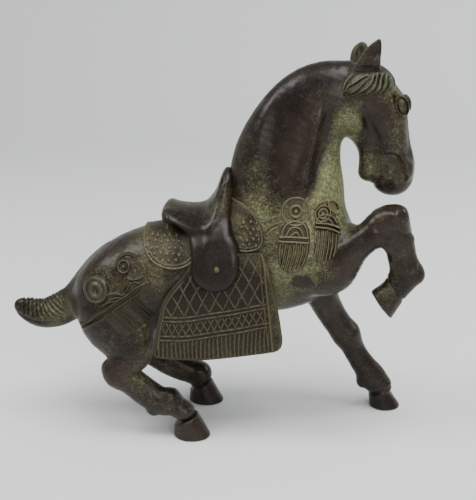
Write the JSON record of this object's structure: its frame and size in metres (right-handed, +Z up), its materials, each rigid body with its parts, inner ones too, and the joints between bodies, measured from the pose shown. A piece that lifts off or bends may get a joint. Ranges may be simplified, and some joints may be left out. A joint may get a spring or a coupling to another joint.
{
  "type": "caparisoned horse statuette",
  "caption": "Cast bronze statuette of a rearing horse with saddle, hanging saddle cloths and tasselled harness, one foreleg raised, standing on its other hooves.",
  "frame": {"origin": "centre of the bounding box in plan, on the plane the hooves stand on", "axes": "+X towards the head, +Y towards the horse's left side, +Z up"},
  "size_m": [0.262, 0.08, 0.2499],
  "materials": {
    "bronze": "dark brown and olive patina, satin",
    "rubbed_bronze": "dark reddish-brown patina, polished by handling",
    "green_bronze": "dark bronze with dull green patina in the hollows"
  },
  "bodies": {
    "root": {"torso": "bronze", "neck": "rubbed_bronze", "head": "bronze", "right_ear": "rubbed_bronze", "left_ear": "green_bronze", "forelock": "green_bronze", "right_foreleg": "bronze", "left_foreleg": "bronze", "right_hind_leg": "bronze", "left_hind_leg": "bronze", "tail": "bronze", "saddle_pad": "green_bronze", "saddle": "rubbed_bronze", "flap_studs": "green_bronze", "saddle_cloth_right": "green_bronze", "saddle_cloth_left": "green_bronze", "shoulder_rosettes": "green_bronze", "chest_rosettes": "green_bronze", "shoulder_tassels": "green_bronze", "chest_tassels": "green_bronze", "rump_rosettes": "green_bronze", "crupper_straps": "green_bronze", "rump_tassels": "green_bronze"}
  },
  "joints": []
}
